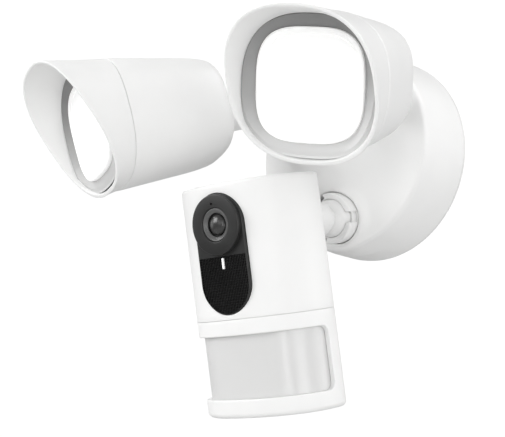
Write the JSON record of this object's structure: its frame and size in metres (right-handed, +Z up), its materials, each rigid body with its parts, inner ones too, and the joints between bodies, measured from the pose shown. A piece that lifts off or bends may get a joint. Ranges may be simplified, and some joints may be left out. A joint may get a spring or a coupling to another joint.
{
  "type": "floodlight security camera",
  "caption": "Wall-mounted floodlight camera: round base, aimable lamp heads with visors and a camera with a motion sensor on ball joints.",
  "frame": {"origin": "centre of the wall plate's back face, on the wall", "axes": "+Z up, +Y into the wall, so the lamps and the camera face -Y; +X to the right seen from the front"},
  "size_m": [0.2793, 0.2234, 0.2481],
  "materials": {
    "shell": "fine satin moulded polycarbonate",
    "bezel": "matt light grey",
    "diffuser": "opal, lightly satin",
    "pir": "translucent satin polyethylene",
    "black": "satin dark grey",
    "glass": "coated, dark",
    "light": "translucent white",
    "rubber": "matt",
    "seal": "pale silicone foam",
    "aluminium": "as extruded",
    "steel": "zinc plated",
    "board": "solder resist",
    "component": "moulded"
  },
  "bodies": {
    "base": {"base_shell": "shell", "wall_plate": "steel", "wall_gasket": "seal", "wire_grommet": "rubber", "base_screw_left": "steel", "base_screw_right": "steel", "driver_board": "board", "driver_transformer": "component", "driver_capacitor": "component", "terminal_block": "light"},
    "lamp_left_ring": {"lamp_left_lock_ring": "shell"},
    "lamp_left_swivel": {"lamp_left_ball": "shell"},
    "lamp_left_arm": {"lamp_left_stem": "shell"},
    "lamp_left_head": {"lamp_left_rear_shell": "shell", "lamp_left_visor": "shell", "lamp_left_bezel": "bezel", "lamp_left_diffuser": "diffuser", "lamp_left_led_board": "board", "lamp_left_heat_sink": "aluminium", "lamp_left_gasket": "rubber"},
    "lamp_right_ring": {"lamp_right_lock_ring": "shell"},
    "lamp_right_swivel": {"lamp_right_ball": "shell"},
    "lamp_right_arm": {"lamp_right_stem": "shell"},
    "lamp_right_head": {"lamp_right_rear_shell": "shell", "lamp_right_visor": "shell", "lamp_right_bezel": "bezel", "lamp_right_diffuser": "diffuser", "lamp_right_led_board": "board", "lamp_right_heat_sink": "aluminium", "lamp_right_gasket": "rubber"},
    "camera_ring": {"camera_lock_ring": "shell"},
    "camera_swivel": {"camera_ball": "shell"},
    "camera_arm": {"camera_stem": "shell"},
    "camera_head": {"camera_back_cover": "shell", "camera_front_shell": "shell", "camera_front_panel": "black", "camera_speaker_grille": "black", "camera_status_light": "light", "camera_lens_disc": "black", "camera_lens_glass": "glass", "camera_lens_barrel": "component", "camera_image_board": "board", "camera_main_board": "board", "camera_processor": "component", "camera_speaker": "component", "camera_cover_screw_left": "steel", "camera_cover_screw_right": "steel", "camera_lower_housing": "shell", "camera_motion_lens": "pir", "camera_motion_board": "board", "camera_motion_sensor_left": "steel", "camera_motion_sensor_right": "steel"},
    "sync_button": {"camera_sync_button": "bezel"}
  },
  "joints": [
    {"name": "lamp_left_pan", "type": "hinge", "parent": "base", "child": "lamp_left_swivel", "pos_m": [-0.0504, -0.0673, 0.0272], "axis": [0, 0, 1], "range_deg": [-20, 18]},
    {"name": "lamp_left_tilt", "type": "hinge", "parent": "lamp_left_swivel", "child": "lamp_left_arm", "pos_m": [-0.0504, -0.0673, 0.0272], "axis": [0.91, -0.4147, 0], "range_deg": [-20, 1]},
    {"name": "lamp_left_twist", "type": "hinge", "parent": "lamp_left_arm", "child": "lamp_left_head", "pos_m": [-0.0504, -0.0673, 0.0272], "axis": [0.4032, 0.8848, 0.2334], "range_deg": [-12, 12]},
    {"name": "lamp_left_ring_turn", "type": "hinge", "parent": "base", "child": "lamp_left_ring", "pos_m": [-0.0504, -0.0673, 0.0272], "axis": [0.3319, 0.9118, 0.2419], "range_deg": [0, 60]},
    {"name": "lamp_right_pan", "type": "hinge", "parent": "base", "child": "lamp_right_swivel", "pos_m": [0.0504, -0.0673, 0.0272], "axis": [0, 0, 1], "range_deg": [-12, 22]},
    {"name": "lamp_right_tilt", "type": "hinge", "parent": "lamp_right_swivel", "child": "lamp_right_arm", "pos_m": [0.0504, -0.0673, 0.0272], "axis": [0.9659, 0.2588, 0], "range_deg": [-20, 1]},
    {"name": "lamp_right_twist", "type": "hinge", "parent": "lamp_right_arm", "child": "lamp_right_head", "pos_m": [0.0504, -0.0673, 0.0272], "axis": [-0.2462, 0.9186, 0.309], "range_deg": [-12, 12]},
    {"name": "lamp_right_ring_turn", "type": "hinge", "parent": "base", "child": "lamp_right_ring", "pos_m": [0.0504, -0.0673, 0.0272], "axis": [-0.3319, 0.9118, 0.2419], "range_deg": [0, 60]},
    {"name": "camera_pan", "type": "hinge", "parent": "base", "child": "camera_swivel", "pos_m": [0, -0.0505, -0.047], "axis": [0, 0, 1], "range_deg": [-18, 18]},
    {"name": "camera_tilt", "type": "hinge", "parent": "camera_swivel", "child": "camera_arm", "pos_m": [0, -0.0505, -0.047], "axis": [1, 0, 0], "range_deg": [0, 16]},
    {"name": "camera_twist", "type": "hinge", "parent": "camera_arm", "child": "camera_head", "pos_m": [0, -0.0505, -0.047], "axis": [0, 0.9816, 0.1908], "range_deg": [-6, 6]},
    {"name": "camera_ring_turn", "type": "hinge", "parent": "base", "child": "camera_ring", "pos_m": [0, -0.0505, -0.047], "axis": [0, 0.9816, 0.1908], "range_deg": [0, 60]},
    {"name": "sync_button_press", "type": "slide", "parent": "camera_head", "child": "sync_button", "axis": [0, -0.1908, 0.9816], "range_m": [0, 0.0012], "stiffness_N_per_m": 400, "springref_m": -0.0002}
  ]
}
